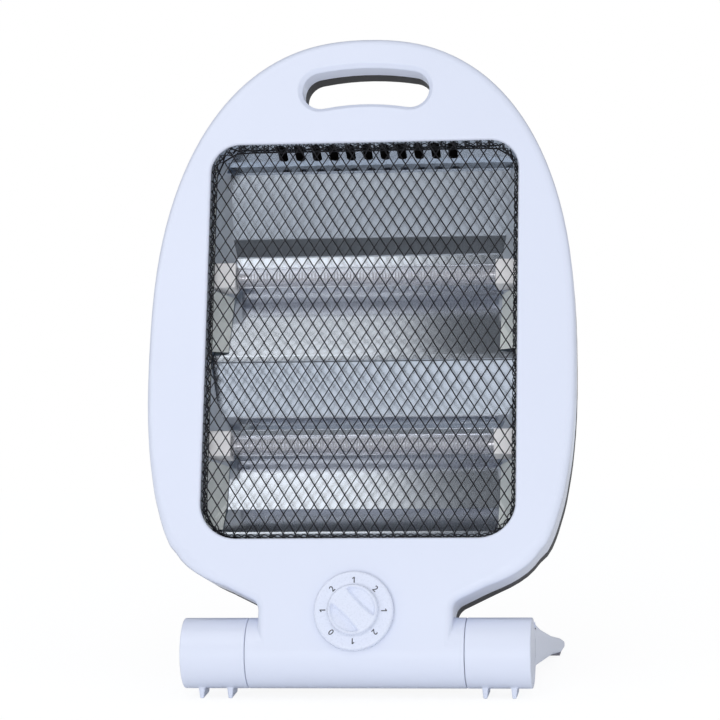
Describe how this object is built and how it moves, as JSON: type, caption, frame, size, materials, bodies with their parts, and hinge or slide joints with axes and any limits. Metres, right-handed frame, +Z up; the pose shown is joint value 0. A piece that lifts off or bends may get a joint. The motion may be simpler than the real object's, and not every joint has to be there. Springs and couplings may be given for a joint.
{
  "type": "infrared heater",
  "caption": "Portable quartz tube heater: egg-shaped housing leaning back on a round base, wire guard, reflector, rotary knob, handle slot and turning feet.",
  "frame": {"origin": "on the floor, in the middle of the object's overall box", "axes": "+Z up, -Y towards the front of the heater, +X to the right as seen from the front"},
  "size_m": [0.248, 0.1552, 0.3702],
  "materials": {
    "body_white": "smooth satin gloss",
    "back_dark": "fine matte grain",
    "reflector": "bright rolled sheet",
    "guard_wire": "dark lacquered wire",
    "quartz": "satin frosted quartz",
    "coil": "oxidised resistance wire",
    "ceramic": "dry unglazed ceramic",
    "knob": "smooth gloss",
    "shaft": "turned",
    "switch": "moulded",
    "terminal": "stamped",
    "screw": "zinc plated",
    "cutout": "pressed can",
    "block": "natural nylon",
    "rubber": "soft matte",
    "spigot": "moulded"
  },
  "bodies": {
    "housing": {"front_shell": "body_white", "rear_cover": "back_dark", "reflector": "reflector", "reflector_side_right": "reflector", "reflector_side_left": "reflector", "guard_front_wires": "guard_wire", "guard_back_wires": "guard_wire", "guard_rim": "guard_wire", "tube_terminals": "terminal", "cover_screws": "screw", "upper_quartz_tube": "quartz", "upper_heating_coil": "coil", "upper_ceramic_right": "ceramic", "upper_ceramic_left": "ceramic", "lower_quartz_tube": "quartz", "lower_heating_coil": "coil", "lower_ceramic_right": "ceramic", "lower_ceramic_left": "ceramic", "rotary_switch": "switch", "thermal_cutout": "cutout", "terminal_block": "block", "tilt_switch": "switch", "cord_gland": "switch", "pivot_spigot_right": "spigot", "pivot_washer_right": "shaft", "pivot_bolt_right": "screw", "pivot_spigot_left": "spigot", "pivot_washer_left": "shaft", "pivot_bolt_left": "screw"},
    "knob": {"control_knob": "knob", "knob_shaft": "shaft"},
    "foot_right": {"foot_right": "body_white", "rear_shoe_right": "rubber", "foot_cap_right": "body_white"},
    "foot_left": {"foot_left": "body_white", "rear_shoe_left": "rubber", "foot_cap_left": "body_white"}
  },
  "joints": [
    {"name": "knob_turn", "type": "hinge", "parent": "housing", "child": "knob", "pos_m": [0, -0.06422, 0.05051], "axis": [0, -0.9397, 0.342], "continuous": true},
    {"name": "foot_right_turn", "type": "hinge", "parent": "housing", "child": "foot_right", "pos_m": [0.081, -0.0524, 0.0245], "axis": [1, 0, 0], "range_deg": [-100, 30]},
    {"name": "foot_left_turn", "type": "hinge", "parent": "housing", "child": "foot_left", "pos_m": [-0.081, -0.0524, 0.0245], "axis": [1, 0, 0], "range_deg": [-100, 30]}
  ]
}
